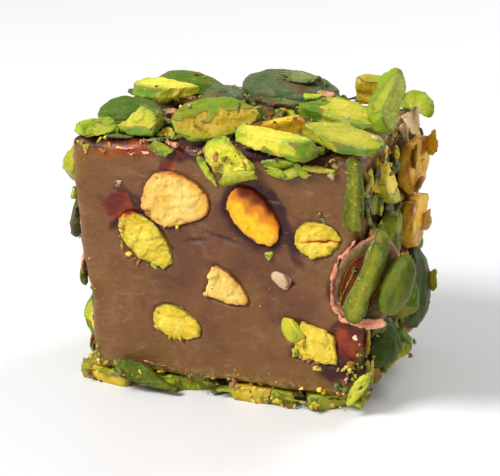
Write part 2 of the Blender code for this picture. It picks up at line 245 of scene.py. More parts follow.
# A nut's colours: its flesh, where that is pale and where it is deep, the rim of a cut, its skin and
# the blotches on it. Patches is how much of the skin is purple and russet.
NutTint = namedtuple("NutTint", "light deep rim skin blotch patches")
NUT_TINTS = {
    "cream": NutTint(
        (0.80, 0.58, 0.15), (0.74, 0.44, 0.07), (0.62, 0.25, 0.03),
        (0.42, 0.20, 0.05), (0.62, 0.32, 0.06), 0.3,
    ),
    "yellow": NutTint(
        (0.76, 0.58, 0.06), (0.68, 0.45, 0.015), (0.46, 0.38, 0.015),
        (0.32, 0.33, 0.02), (0.46, 0.30, 0.015), 0.3,
    ),
    "lime": NutTint(
        (0.58, 0.52, 0.05), (0.44, 0.42, 0.015), (0.17, 0.30, 0.01),
        (0.09, 0.18, 0.01), (0.30, 0.28, 0.012), 0.3,
    ),
    "leaf": NutTint(
        (0.48, 0.51, 0.03), (0.36, 0.42, 0.012), (0.17, 0.30, 0.01),
        (0.30, 0.42, 0.015), (0.18, 0.25, 0.01), 0.1,
    ),
    "ripe": NutTint(
        (0.60, 0.42, 0.03), (0.46, 0.31, 0.01), (0.24, 0.33, 0.015),
        (0.20, 0.30, 0.015), (0.34, 0.20, 0.01), 0.3,
    ),
    "olive": NutTint(
        (0.27, 0.26, 0.012), (0.18, 0.19, 0.008), (0.045, 0.095, 0.006),
        (0.15, 0.18, 0.01), (0.10, 0.10, 0.006), 0.1,
    ),
    "green": NutTint(
        (0.31, 0.34, 0.015), (0.17, 0.22, 0.008), (0.05, 0.12, 0.008),
        (0.08, 0.14, 0.008), (0.08, 0.11, 0.006), 0.2,
    ),
    "dark": NutTint(
        (0.21, 0.23, 0.07), (0.10, 0.14, 0.03), (0.03, 0.07, 0.015),
        (0.10, 0.13, 0.05), (0.05, 0.06, 0.025), 0.3,
    ),
    "gold": NutTint(
        (0.64, 0.37, 0.02), (0.50, 0.25, 0.008), (0.36, 0.15, 0.008),
        (0.46, 0.25, 0.015), (0.18, 0.06, 0.006), 0.6,
    ),
    "skin": NutTint(
        (0.22, 0.16, 0.03), (0.12, 0.09, 0.015), (0.80, 0.33, 0.22),
        (0.60, 0.22, 0.14), (0.16, 0.06, 0.02), 0.3,
    ),
    "rose": NutTint(
        (0.82, 0.38, 0.22), (0.62, 0.17, 0.10), (0.76, 0.32, 0.20),
        (0.50, 0.10, 0.06), (0.42, 0.05, 0.03), 0.3,
    ),
    "husk": NutTint(
        (0.78, 0.62, 0.38), (0.60, 0.42, 0.21), (0.66, 0.46, 0.26),
        (0.66, 0.48, 0.27), (0.42, 0.14, 0.05), 0.3,
    ),
    "ember": NutTint(
        (0.88, 0.60, 0.02), (0.84, 0.42, 0.008), (0.76, 0.24, 0.01),
        (0.36, 0.07, 0.01), (0.84, 0.38, 0.01), 0.3,
    ),
}
# Further colours: the skin's purple and russet patches, a kernel under thin and under thick jelly, and a broken
# edge
PURPLE = (0.075, 0.018, 0.022)
RUSSET = (0.26, 0.075, 0.035)
UNDER_JELLY = (0.66, 0.19, 0.012)
UNDER_DEEP_JELLY = (0.13, 0.012, 0.004)
CRUMBLED = (1.0, 0.90, 0.50)  # what a broken edge's colour is multiplied by, at its brightest


def nut_finish(slot):
    """Pistachio: pale inside, green towards the rim, fine streaks along it, and skin with purple and
    russet patches."""
    tint = NUT_TINTS[slot]
    finish = Finish(f"{slot}_pistachio")
    shade = finish.attribute("shade")
    skinned = finish.attribute("skin")
    mottle = finish.maths("ADD", finish.noise(3.2, detail=3), finish.times(shade, -0.10))
    colour = finish.mix(finish.remap(mottle, 0.36, 0.66), tint.light, tint.deep)
    rind = finish.times(finish.attribute("rind"), finish.remap(finish.noise(1.8, detail=2), 0.2, 0.6, 0.45, 1.0))
    colour = finish.mix(rind, colour, tint.rim)
    streaks = finish.streaks(0.5)
    colour = finish.mix(finish.remap(streaks, 0.47, 0.30, 0.0, 0.4), colour, tint.blotch)
    colour = finish.mix(finish.remap(streaks, 0.54, 0.70, 0.0, 0.4), colour, tint.light)
    grit = finish.noise(0.45, detail=3, roughness=0.75)
    colour = finish.mix(finish.remap(grit, 0.47, 0.30, 0.0, 0.6), colour, tint.blotch)
    colour = finish.mix(finish.remap(grit, 0.57, 0.72, 0.0, 0.35), colour, CRUMBLED)
    worn = finish.times(finish.attribute("ridge"), finish.remap(finish.noise(0.9, detail=2), 0.38, 0.6))
    pale = finish.mix(0.5, tint.light, CRUMBLED)
    colour = finish.mix(finish.times(worn, 0.65), colour, pale)
    skin = finish.mix(finish.remap(finish.noise(2.6, detail=4), 0.4, 0.7, 0.0, 0.7), tint.skin, tint.rim)
    skin = finish.mix(finish.remap(streaks, 0.56, 0.66, 0.0, 0.4), skin, tint.light)
    patches = finish.noise(4.2, detail=3, roughness=0.6)
    skin = finish.mix(finish.remap(patches, 0.54, 0.64, 0, tint.patches), skin, RUSSET)
    skin = finish.mix(finish.remap(patches, 0.60, 0.70, 0, tint.patches), skin, PURPLE)
    colour = finish.mix(skinned, colour, skin)
    line = finish.times(finish.remap(skinned, 0.1, 0.35), finish.remap(skinned, 0.85, 0.5))
    line = finish.times(line, finish.remap(finish.noise(2.4, detail=2), 0.42, 0.52, 0.0, 0.9))
    colour = finish.mix(line, colour, RUSSET)
    colour = finish.mix(finish.spots(1.1, 0.15, 0.72), colour, (0.16, 0.07, 0.015))
    brightness = finish.maths("POWER", SHADE_RANGE, shade)
    tone = finish.node("ShaderNodeHueSaturation", {"Value": brightness, "Color": colour}).outputs["Color"]
    veil = finish.attribute("veil")
    tone = finish.mix(finish.remap(veil, 0.1, 0.6, 0.0, 0.9), tone, UNDER_JELLY)
    tone = finish.mix(finish.remap(veil, 0.65, 1.0, 0.0, 0.95), tone, UNDER_DEEP_JELLY)
    relief = finish.bump(grit, 0.12)
    relief = finish.bump(streaks, 0.10, relief)
    finish.set(
        base_color=tone,
        roughness=finish.remap(grit, 0.3, 0.7, 0.34, 0.54),
        specular_ior_level=0.18,
        subsurface_weight=0.08,
        subsurface_radius=(0.8 * MM, 0.6 * MM, 0.15 * MM),
        subsurface_scale=1.0,
        normal=relief,
    )
    return finish.material


FINISHES = {tint: nut_finish(tint) for tint in NUT_TINTS}
FINISHES["amber"] = jelly_finish()


# ---------------------------------------------------------------- the block's faces

Face = namedtuple("Face", "middle right up out width height")


def slump(point):
    """Where a point of the true block, given from its centre, has moved to in the soft one."""
    across = point.x / (WIDTH / 2)
    rise = point.z / HEIGHT + 0.5
    drawn_in = smooth_share((TUCK_NONE - rise) / (TUCK_NONE - TUCK_FULL))
    tuck = LEFT_TUCK * drawn_in * max(0, -across)
    spread = RIGHT_SPREAD * (1 - rise) * max(0, across)
    from_origin = point + Vector((0, 0, BASE_COAT + HEIGHT / 2))
    dent = noise.noise_vector(from_origin / DIMPLE_SPACING) * DIMPLE
    dent.z *= rise
    return point + Vector((tuck + spread, 0, 0)) + dent


def rounded(point):
    """A point of the block's skin, moved in where the edges are rounded."""
    inner = Vector(
        min(size / 2 - ROUNDING, max(ROUNDING - size / 2, along))
        for size, along in zip((WIDTH, DEPTH, HEIGHT), point)
    )
    return inner + (point - inner).normalized() * ROUNDING


def block_skin(cuts):
    """The soft block as an even grid on each face, about its own centre."""
    bm = bmesh.new()
    bmesh.ops.create_cube(bm, size=1)
    bmesh.ops.scale(bm, vec=(WIDTH, DEPTH, HEIGHT), verts=bm.verts)
    bmesh.ops.subdivide_edges(bm, edges=bm.edges, cuts=cuts, use_grid_fill=True)
    for vert in bm.verts:
        vert.co = slump(rounded(vert.co))
    return bm


def block_centre():
    """Where the centre of the true block lies, from the box of the soft one."""
    bm = block_skin(8)
    low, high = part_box("jelly")
    own_low = Vector(min(vert.co[axis] for vert in bm.verts) for axis in range(3))
    own_high = Vector(max(vert.co[axis] for vert in bm.verts) for axis in range(3))
    bm.free()
    return (low + high - own_low - own_high) / 2


CENTRE = block_centre()


def block_face(right, up):
    right, up = Vector(right), Vector(up)
    out = right.cross(up)
    sizes = Vector((WIDTH, DEPTH, HEIGHT))
    reach = Vector(size / 2 * way for size, way in zip(sizes, out))
    return Face(CENTRE + reach, right, up, out, abs(sizes.dot(right)), abs(sizes.dot(up)))


FACES = {
    "front": block_face((1, 0, 0), (0, 0, 1)),
    "back": block_face((-1, 0, 0), (0, 0, 1)),
    "right": block_face((0, 1, 0), (0, 0, 1)),
    "left": block_face((0, -1, 0), (0, 0, 1)),
    "top": block_face((1, 0, 0), (0, 1, 0)),
    "base": block_face((1, 0, 0), (0, -1, 0)),
}


def spot(face, u, v, height=0):
    """A place u and v millimetres to the right and up from a face's middle, as seen from outside."""
    return face.middle + (face.right * u + face.up * v + face.out * height) * MM


# ---------------------------------------------------------------- pieces


def finished(name, mesh, slot, *nodes):
    """An object with a slot's finish, which stands for the nodes named."""
    mesh.materials.clear()
    mesh.materials.append(FINISHES[slot])
    mesh.shade_smooth()
    piece = bpy.data.objects.new(name, mesh)
    bpy.context.scene.collection.objects.link(piece)
    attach(piece, "root")
    if nodes:
        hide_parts(*nodes)
    return piece


def set_attribute(mesh, name, values):
    attribute = mesh.attributes.new(name, "FLOAT", "POINT")
    attribute.data.foreach_set("value", values)


def set_places(mesh, name, places):
    attribute = mesh.attributes.new(name, "FLOAT_VECTOR", "POINT")
    attribute.data.foreach_set("vector", [along for place in places for along in place])


def remeshed(bm, grain):
    """A bmesh as an even fine mesh, which closes over joins and rounds off the corners."""
    plain = bpy.data.meshes.new("plain")
    bm.to_mesh(plain)
    carrier = bpy.data.objects.new("carrier", plain)
    bpy.context.scene.collection.objects.link(carrier)
    fine = carrier.modifiers.new("fine", "REMESH")
    fine.mode = "VOXEL"
    fine.voxel_size = grain
    fine.use_smooth_shade = True
    bpy.context.view_layer.update()
    shaped = carrier.evaluated_get(bpy.context.evaluated_depsgraph_get())
    mesh = bpy.data.meshes.new_from_object(shaped)
    bpy.data.objects.remove(carrier)
    bpy.data.meshes.remove(plain)
    return mesh


Sunk = namedtuple("Sunk", "u v turn length width")
SUNK_KERNELS = (
    Sunk(-13.9, 7.3, 10, 2.2, 1.6),
    Sunk(-11.4, 15.4, 5, 2.6, 0.5),
    Sunk(-6.4, 13.4, 5, 0.6, 0.6),
    Sunk(19.0, -8.2, 62, 3.6, 2.4),
)
# Where the jelly is stained dark round a kernel, and where painted shadow darkens the top edge under the nuts that
# lie over it
STAINS_AND_SHADOWS = (
    Sunk(18.0, -8.6, 75, 4.6, 3.0),
    Sunk(17.6, -12.6, 10, 3.6, 1.8),
    Sunk(8.9, 7.2, -58, 6.2, 1.2),
    Sunk(-9.0, 4.8, -50, 3.4, 1.2),
    Sunk(-11.8, 7.9, -40, 2.2, 1.0),
    Sunk(-13.0, 5.8, 30, 1.6, 0.8),
    # These three, along the top edge, are painted shadow under the nuts that lie over it
    Sunk(-5.6, 16.0, -4, 7.6, 1.2),
    Sunk(5.0, 15.9, 0, 9.0, 0.8),
    Sunk(-14.6, 16.6, 0, 4.0, 0.8),
    Sunk(2.8, 9.6, 60, 2.6, 1.4),
    Sunk(-12.0, 7.6, -30, 2.6, 1.4),
)
BUBBLES = (
    Sunk(-2.6, 3.6, 10, 1.2, 0.2),
    Sunk(1.5, 4.3, -12, 1.6, 0.2),
    Sunk(-6.8, 2.2, 0, 0.8, 0.2),
    Sunk(10.6, -1.2, 0, 0.6, 0.3),
)
HALOS = {
    "front_kernel_01": (0.2, 0.4),
    "front_kernel_02": (0.5, 0.6),
    "front_kernel_03": (1.0, 1.1),
    "front_kernel_04": (0.2, 0.4),
    "front_kernel_05": (0.1, 0.4),
    "front_kernel_06": (0.1, 0.4),
    "front_kernel_07": (0.35, 0.5),
    "front_kernel_09": (0.6, 0.6),
    "back_kernel_01": (0.7, 1.0),
    "back_kernel_02": (0.4, 0.8),
    "back_kernel_03": (0.8, 1.0),
    "back_kernel_04": (0.9, 1.2),
    "back_kernel_05": (0.4, 0.8),
}


# How deep the jelly lies under a kernel's cut face, in millimetres, and how far round it it dips
POCKET = 0.4
POCKET_RIM = 0.36 * MM


def within(face, mark, point, softness):
    """1 inside an ellipse on a face, falling to 0 over a softness in millimetres outside it."""
    offset = (point - spot(face, mark.u, mark.v)) / MM
    turn = math.radians(mark.turn)
    along = offset.dot(face.right) * math.cos(turn) + offset.dot(face.up) * math.sin(turn)
    beside = offset.dot(face.up) * math.cos(turn) - offset.dot(face.right) * math.sin(turn)
    ring = math.hypot(along / mark.length * 2, beside / mark.width * 2)
    outside = (ring - 1) * mark.width / 2
    return smooth_share(1 - outside / softness)


def solids(*nodes):
    """The nodes' surfaces, for finding what is near or in the way."""
    corners, faces = [], []
    for node in nodes:
        mesh = frame["nodes"][node].data
        first = len(corners)
        corners += [vert.co.copy() for vert in mesh.vertices]
        faces += [[first + index for index in polygon.vertices] for polygon in mesh.polygons]
    return BVHTree.FromPolygons(corners, faces)


def jelly_relief(point, way):
    """How far the surface stands out of the smooth block, in millimetres: nearly flat where it was
    cut, and lumpy under the coat."""
    at = point / MM
    cut = abs(way.y)
    lumps = noise.noise(at / 3.4) * 0.30 + noise.noise(at / 1.3) * 0.14
    waves = noise.noise(Vector((at.x / 9, at.y / 9, at.z / 3.2))) * 0.10 + noise.noise(at / 1.6) * 0.04
    return waves * cut + lumps * (1 - cut)


def jelly():
    """The block, with what its finish needs to know of each point."""
    bm = block_skin(JELLY_CUTS)
    bm.normal_update()
    bmesh.ops.translate(bm, vec=CENTRE, verts=bm.verts)
    front = FACES["front"]
    kernels = {node: (solids(node), *halo) for node, halo in HALOS.items()}
    edges, stains_and_shadows, sunk, bubbles, scum = [], [], [], [], []
    for vert in bm.verts:
        from_centre = vert.co - CENTRE
        beside = (WIDTH / 2 - abs(from_centre.x)) / MM
        above = (HEIGHT / 2 - abs(from_centre.z)) / MM
        deep = (DEPTH / 2 - abs(from_centre.y)) / MM
        inward = sorted((beside, above, deep))[1]
        # Nearness to the block's edges, where the finish paints light shining through the thin jelly
        edges.append(math.exp(-inward / 5.5))
        stray = noise.noise_vector(vert.co / MM / 1.7) * 0.8 * MM
        halo = dip = 0
        if deep < 2:
            for tree, strength, reach in kernels.values():
                near = tree.find_nearest(vert.co + stray * 0.5, 6 * MM)
                if near[3] is not None:
                    halo = max(halo, strength * math.exp(-((near[3] / MM / reach) ** 1.5)))
                near = tree.find_nearest(vert.co, POCKET_RIM)
                if near[3] is not None:
                    dip = max(dip, smooth_share(1 - near[3] / POCKET_RIM))
        at_front = vert.co.y < CENTRE.y
        if at_front:
            # The marks of the front: stains round kernels, and painted shadow along the top edge
            halo = max([halo] + [0.9 * within(front, mark, vert.co + stray * 1.5, 1.5) for mark in STAINS_AND_SHADOWS])
        stains_and_shadows.append(halo)
        sunk.append(max(within(front, mark, vert.co + stray, 1.8) for mark in SUNK_KERNELS) if at_front else 0)
        bubble = max(within(front, mark, vert.co, 0.35) for mark in BUBBLES) if at_front else 0
        bubbles.append(bubble)
        scum.append(smooth_share(1 - above / 2.2) * (1 if from_centre.z < 0 else 0.4))
        vert.co += vert.normal * (jelly_relief(vert.co, vert.normal) - bubble * 0.3 - dip * POCKET) * MM
    mesh = bpy.data.meshes.new("jelly_block")
    bm.to_mesh(mesh)
    bm.free()
    for name, values in zip(("edge", "halo", "sunk", "bubble", "scum"), (edges, stains_and_shadows, sunk, bubbles, scum)):
        set_attribute(mesh, name, values)
    return finished("jelly_block", mesh, "amber", "jelly")


def mark_cuts(bm):
    """Merges a chopped nut's flat sides into one face each, and marks those that the knife made: the
    others are facets of its round outside."""
    bmesh.ops.dissolve_limit(bm, angle_limit=math.radians(3), verts=bm.verts, edges=bm.edges)
    cut = bm.faces.layers.int.new("cut")
    whole = sum(face.calc_area() for face in bm.faces)
    for face in bm.faces:
        share = face.calc_area() / whole
        face[cut] = share > 0.10 or (share > 0.03 and len(face.verts) > 5)


class Patches:
    """Some faces of a mesh, for finding how near they are and which is the nearest."""

    def __init__(self, faces):
        self.faces = list(faces)
        corners, polygons = [], []
        for face in self.faces:
            polygons.append(list(range(len(corners), len(corners) + len(face.verts))))
            corners += [vert.co.copy() for vert in face.verts]
        self.tree = BVHTree.FromPolygons(corners, polygons) if polygons else None

    def nearness(self, point, reach):
        """1 on the faces, falling to 0 at a reach from them."""
        distance = self.tree.find_nearest(point, reach)[3] if self.tree else None
        return 0 if distance is None else 1 - distance / reach

    def nearest(self, point):
        return self.faces[self.tree.find_nearest(point)[2]]


def broken(at, size):
    """A surface broken into flat bits of a size: how far the bit at a place stands out, from -1 to 1."""
    strayed = at + noise.noise_vector(at / size) * 0.35 * size
    bit = noise.voronoi(strayed / size)[1][0]
    tilt = noise.noise_vector(bit * 3.7)
    return noise.noise(bit * 5.3) * 1.6 + (strayed / size - bit).dot(tilt)


def nut_relief(point, along, seed, skin, sharp, crumble):
    """How far a nut's surface stands out, in millimetres: broken bits where it was cut, wrinkles on
    its skin, fibres along it everywhere, and chipped edges. Along is the point in the nut's frame."""
    at = point / MM + Vector((seed, 0, 0))
    own = along / MM + Vector((seed, 0, 0))
    lumps = noise.noise(at / 3.0) * 0.20
    fibres = noise.noise(Vector((own.x / 3.4, own.y / 0.8, own.z / 0.8))) * 0.15
    bits = broken(at, 1.6) * 0.12 + broken(at, 0.55) * 0.06
    wrinkles = noise.noise(Vector((own.x / 1.8, own.y / 0.5, own.z / 0.5))) * 0.09
    chipped = min(0, noise.noise(at / 1.1) - 0.02) * 1.1 * sharp
    return lumps + fibres + bits * crumble * (1 - skin) + wrinkles * skin + chipped


def long_axis(bm):
    """A frame turned so that its x runs along a nut: what takes a point into it."""
    middle = sum((vert.co for vert in bm.verts), Vector()) / len(bm.verts)
    furthest = max(bm.verts, key=lambda vert: (vert.co - middle).length)
    turn = (furthest.co - middle).to_track_quat("X", "Z").to_matrix().to_4x4()
    return (Matrix.Translation(middle) @ turn).inverted()


def rimmed(bm):
    """How near a point is to a nut's sharp edges: 1 on them, 0 at the depth of the rind."""
    sharp = [edge for edge in bm.edges if edge.is_manifold and edge.calc_face_angle() > SHARP]
    ends = [(edge.verts[0].co.copy(), edge.verts[1].co.copy()) for edge in sharp]

    def nearness(point):
        least = RIND
        for first, second in ends:
            on_line, share = intersect_point_line(point, first, second)
            least = min(least, (point - first.lerp(second, min(1, max(0, share)))).length)
        return 1 - least / RIND

    return nearness


def ridge(vert):
    """How sharp the edge is that a point of a fine mesh lies on, from 0 to 1."""
    drops = [(vert.co - edge.other_vert(vert).co).dot(vert.normal) for edge in vert.link_edges]
    return smooth_share((sum(drops) / len(drops) / NUT_GRAIN - 0.06) / 0.2)


def refined(
    name, bm, slot, seed, crumble, places, nodes=(), shade=None, veil=None, peel=None, rim=None, crack=None
):
    """Nuts with an even fine surface, roughened, that know their rims and skin. Their plain faces are
    marked cut or not, and say which of the places is theirs, in whose frame a nut lies along x. A
    shade is a layer of theirs or one number."""
    mesh = remeshed(bm, NUT_GRAIN)
    cut = bm.faces.layers.int["cut"]
    knife = Patches(face for face in bm.faces if face[cut])
    outside = Patches(face for face in bm.faces if not face[cut])
    every = Patches(bm.faces)
    shades = bm.faces.layers.float.get("shade")
    owners = bm.faces.layers.int.get("piece")
    grain = []
    fine = bmesh.new()
    fine.from_mesh(mesh)
    bmesh.ops.smooth_vert(fine, verts=fine.verts, factor=0.25, use_axis_x=True, use_axis_y=True, use_axis_z=True)
    fine.normal_update()
    known = {"skin": [], "rind": [], "shade": [], "veil": [], "ridge": []}
    for vert in fine.verts:
        stray = noise.noise(vert.co / MM / 1.1) * 0.25 * MM
        skinned = smooth_share(1 - knife.nearness(vert.co, SKIN + stray))
        known["skin"].append(max(skinned, peel(vert.co) if peel else 0))
        near_rim = outside.nearness(vert.co, RIND + 2 * stray)
        if rim:
            near_rim = max(near_rim, rim(vert.co))
        known["rind"].append(near_rim**1.5)
        plain = every.nearest(vert.co)
        known["shade"].append(plain[shades] if shades else shade)
        grain.append(places[plain[owners] if owners else 0] @ vert.co)
        covered = veil(vert.co + vert.normal * stray) if veil else 0
        # Cracks take the veil's colours, orange at their edges and dark in them; in the hollow of the empty skin
        # the dark is painted shade
        known["veil"].append(max(covered, crack(vert.co) * CRACK_DARKENING if crack else 0))
        known["ridge"].append(ridge(vert))
    for vert, along, skin, sharp in zip(fine.verts, grain, known["skin"], known["ridge"]):
        vert.co += vert.normal * nut_relief(vert.co, along, seed, skin, sharp, crumble) * MM
        if crack:
            vert.co -= vert.normal * crack(vert.co) * CRACK_DEPTH * MM
        vert.co.z = max(vert.co.z, FLOOR_GAP)
    fine.to_mesh(mesh)
    fine.free()
    bm.free()
    mesh.name = name
    for attribute, values in known.items():
        set_attribute(mesh, attribute, values)
    set_places(mesh, "grain", grain)
    return finished(name, mesh, slot, *nodes)


# Where jelly still lies over a part of a cut kernel: the way towards it from the kernel's middle, as
# an angle on the cut face, how far from the middle it is half there, and over how much it comes and
# goes, both as shares of the kernel's reach
VEILS = {
    "front_kernel_01": (85, 0.68, 0.3),
    "front_kernel_02": (120, 0.70, 0.25),
    "front_kernel_03": (62, 0.12, 0.75),
    "front_kernel_07": (20, 0.75, 0.3),
    "back_kernel_01": (200, 0.4, 0.5),
    "back_kernel_04": (20, 0.2, 0.5),
}
# Cracks across cut kernels of the front, sunk and darker in them, and the hollow of the empty skin, whose dark is
# painted shade
CRACKS = (
    ("front_kernel_04", Sunk(15.3, 5.3, 6, 2.4, 0.12)),
    ("front_kernel_09", Sunk(20.2, -0.2, 72, 8.8, 4.4)),
)
# Where the green skin laps over a nut's cut, told in the same way as a veil
PEELS = {
    "top_nut_05": (-90, 0.12, 0.1),
    "top_nut_06": (100, 0.14, 0.12),
    "top_nut_01": (80, 0.2, 0.15),
    "top_nut_15": (170, 0.25, 0.15),
    "top_nut_02": (-80, 0.2, 0.15),
}
USUAL_PEEL = (0.34, 0.12)  # and on the other nuts of the coat, from a side of its own
COAT = ("top_", "right_", "left_", "base_")
CRACK_DEPTH = 0.3  # millimetres
# How far the cracks go towards the darkest veil colour
CRACK_DARKENING = 1.0
CRACK_REACH = 1.6 * MM  # how far behind the front face they go
# How light a nut is against the others of its tint, from -1 to 1
SHADES = {
    "front_kernel_01": 0.05,
    "front_kernel_02": 0.0,
    "front_kernel_03": -0.05,
    "front_kernel_04": 0.05,
    "front_kernel_05": 0.1,
    "front_kernel_06": 0.1,
    "front_kernel_07": 0.1,
    "front_kernel_08": -0.25,
    "front_nut_01": 0.5,
    "front_nut_02": 0.0,
    "front_nut_03": -0.4,
    "base_nut_01": -0.3,
    "front_nut_04": -0.8,
    "front_kernel_09": -0.8,
    "top_nut_01": 0.2,
    "top_nut_02": -0.05,
    "top_nut_03": 0.1,
    "top_nut_04": -0.15,
    "top_nut_05": 0.35,
    "top_nut_06": -0.15,
    "top_nut_08": 0.0,
    "top_nut_14": 0.1,
    "top_nut_15": -0.25,
    "right_nut_01": 0.5,
    "right_nut_02": 0.6,
    "right_nut_04": 0.1,
    "right_nut_06": -1.0,
}
SPECIAL_FINISHES = {
    "front_kernel_03": "ember",
    "front_kernel_08": "olive",
    "front_nut_02": "olive",
    "front_nut_03": "olive",
    "top_nut_01": "leaf",
    "top_nut_03": "ember",
    "top_nut_06": "ripe",
    "top_nut_14": "leaf",
    "top_nut_15": "leaf",
}
DARK_RIMMED = (
    "front_kernel_03", "front_kernel_08", "front_nut_02", "front_nut_03", "top_nut_04", "top_nut_06", "top_nut_08",
)
CRUMBLE = {
    "front_kernel_01": 1.4,
    "front_kernel_06": 1.2,
    "front_kernel_02": 2.0,
    "front_kernel_04": 1.6,
    "front_kernel_05": 1.8,
    "front_kernel_07": 1.6,
    "top_nut_02": 1.8,
    "front_nut_01": 1.8,
    "base_nut_02": 1.8,
    "base_nut_03": 1.8,
}
USUAL_CRUMBLE = 0.8


def cracks_in(node):
    """How far inside a kernel's cracks a point is, from 0 to 1."""
    marks = [mark for name, mark in CRACKS if name == node]

    def crack(point):
        if (point - FACES["front"].middle).dot(FACES["front"].out) < -CRACK_REACH:
            return 0
        strayed = point + noise.noise_vector(point / MM / 1.2) * 0.25 * MM
        return max((within(FACES["front"], mark, strayed, 0.25) for mark in marks), default=0)

    return crack


def laps(node, angle, start, fade):
    """How much jelly or skin lies over a point of a nut, from 0 to 1."""
    low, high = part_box(node)
    middle = (low + high) / 2
    reach = Vector((high.x - low.x, 0, high.z - low.z)).length / 2
    way = Vector((math.cos(math.radians(angle)), 0, math.sin(math.radians(angle))))

    def veil(point):
        along = (point - middle).dot(way) / reach + noise.noise(point / MM / 1.6) * 0.2
        return smooth_share((along - start) / fade + 0.5)

    return veil


def all_nuts():
    """Every node but the jelly, made again with a fine surface."""
    made = []
    slots = {part["node"]: part["material_slot"] for part in frame["record"]["subparts"]}
    for number, (node, slot) in enumerate(sorted(slots.items())):
        if node == "jelly":
            continue
        bm = bmesh.new()
        bm.from_mesh(frame["nodes"][node].data)
        bmesh.ops.remove_doubles(bm, verts=bm.verts, dist=0.001 * MM)
        mark_cuts(bm)
        seed = number * 7.3
        shade = SHADES.get(node, noise.noise(Vector((seed, 0.5, 0))) * 0.8)
        veil = laps(node, *VEILS[node]) if node in VEILS else None
        usual = (noise.noise(Vector((0.5, seed, 0))) * 360, *USUAL_PEEL) if node.startswith(COAT) else None
        peel = PEELS.get(node, usual)
        peel = laps(node, *peel) if peel else None
        crack = cracks_in(node) if node in dict(CRACKS) else None
        rim = rimmed(bm) if node in DARK_RIMMED else None
        crumble = CRUMBLE.get(node, USUAL_CRUMBLE)
        places = [long_axis(bm)]
        tint = SPECIAL_FINISHES.get(node, slot)
        known = {"shade": shade, "veil": veil, "peel": peel, "rim": rim, "crack": crack}
        made.append(refined(f"{node}_finished", bm, tint, seed, crumble, places, (node,), **known))
    return made


# ---------------------------------------------------------------- the fill of the coat


class Heap:
    """What lies on the block so far, and what a thing let down onto a face would meet."""

    def __init__(self, pieces):
        self.corners, self.polygons, self.owners = [], [], []
        for piece in pieces:
            first = len(self.corners)
            self.corners += [vert.co.copy() for vert in piece.data.vertices]
            self.polygons += [[first + index for index in face.vertices] for face in piece.data.polygons]
            self.owners += [piece.name] * len(piece.data.polygons)
        self.tree = BVHTree.FromPolygons(self.corners, self.polygons)

    def meet(self, face, u, v, ahead=14):
        """The point met, the way it faces and the piece it is on, or None."""
        point, normal, index, _ = self.tree.ray_cast(spot(face, u, v, ahead), -face.out, 2 * ahead * MM)
        return None if point is None else (point, normal, self.owners[index])


# How a sliver is cut from a kernel: planes as in the solids, each a way and a share of its reach
SLIVER_CUTS = {
    "flake": (((0, 0, -1), 0.15), ((0, 0.1, 1), 0.25), ((0.2, 1, 0), 0.6), ((0.9, -0.5, 0), 0.6)),
    "splint": (((0, 0, -1), 0.3), ((0, 0.1, 1), 0.35), ((0, 1, 0.1), 0.3), ((0, -1, 0), 0.35)),
    "lump": (((0, 0, -1), 0.3), ((0.9, 0.4, 0.2), 0.35), ((-0.8, 0.5, 0.3), 0.45), ((0, -0.8, 0.6), 0.5)),
    "halved": (((0, 0, -1), 0.05),),
    "shaving": (((0, 0, -1), 0.3), ((0, 0, 1), 0.3), ((0.1, 1, 0), 0.7)),
}
CURL = 0.14  # how far a shaving's ends bend up, as a share of its length
# A small piece on a face: u and v in millimetres from its middle, height of its middle over what it
# lies on, then its turn, size, cut, tint and tilt
Chip = namedtuple("Chip", "face u v height turn size cut tint roll pitch", defaults=(0, 0))


def sliver(batch, place, size, cut, shade, chance):
    """Adds a small chopped piece to a batch, its long axis along the place's x."""
    length, width, thickness = size
    piece = bmesh.new()
    bmesh.ops.create_icosphere(piece, subdivisions=2, radius=1)
    marks = piece.faces.layers.int.new("cut")
    owners = piece.faces.layers.int.new("piece")
    shades = piece.faces.layers.float.new("shade")
    for vert in piece.verts:
        vert.co += noise.noise_vector(vert.co * 1.2 + Vector((chance.random() * 0.1, length, width))) * 0.15
        vert.co = Vector((vert.co.x * length, vert.co.y * width, vert.co.z * thickness)) / 2
    for way, share in SLIVER_CUTS[cut]:
        way = (Vector(way) + Vector(chance.uniform(-0.15, 0.15) for _ in range(3))).normalized()
        reach = max(vert.co.dot(way) for vert in piece.verts)
        everything = piece.verts[:] + piece.edges[:] + piece.faces[:]
        bmesh.ops.bisect_plane(piece, geom=everything, plane_co=way * reach * share, plane_no=way, clear_outer=True)
        rim = [edge for edge in piece.edges if edge.is_boundary]
        for face in bmesh.ops.holes_fill(piece, edges=rim)["faces"]:
            face[marks] = 1
    if cut == "shaving":
        for vert in piece.verts:
            vert.co.z += (2 * vert.co.x / length) ** 2 * length * CURL
    for face in piece.faces:
        face[shades] = shade
        face[owners] = len(batch.places)
    bmesh.ops.recalc_face_normals(piece, faces=piece.faces)
    bmesh.ops.scale(piece, vec=(MM, MM, MM), verts=piece.verts)
    bmesh.ops.transform(piece, matrix=place, verts=piece.verts)
    mesh = bpy.data.meshes.new("sliver")
    piece.to_mesh(mesh)
    piece.free()
    batch.bm.from_mesh(mesh)
    batch.places.append(place.inverted())
    bpy.data.meshes.remove(mesh)


def lying(face, point, turn, roll=0, pitch=0):
    """The place of a piece at a point, with its long axis along a face."""
    turned = Euler((math.radians(roll), math.radians(pitch), 0)).to_matrix()
    turned = Matrix.Rotation(math.radians(turn), 3, "Z") @ turned
    axes = Matrix((face.right, face.up, face.out)).transposed()
    return Matrix.Translation(point) @ (axes @ turned).to_4x4()


# Slivers of one tint: their joined plain shapes, and what takes a point into each one's own frame
Batch = namedtuple("Batch", "bm places")


def new_batch():
    bm = bmesh.new()
    bm.faces.layers.int.new("cut")
    bm.faces.layers.int.new("piece")
    bm.faces.layers.float.new("shade")
    return Batch(bm, [])


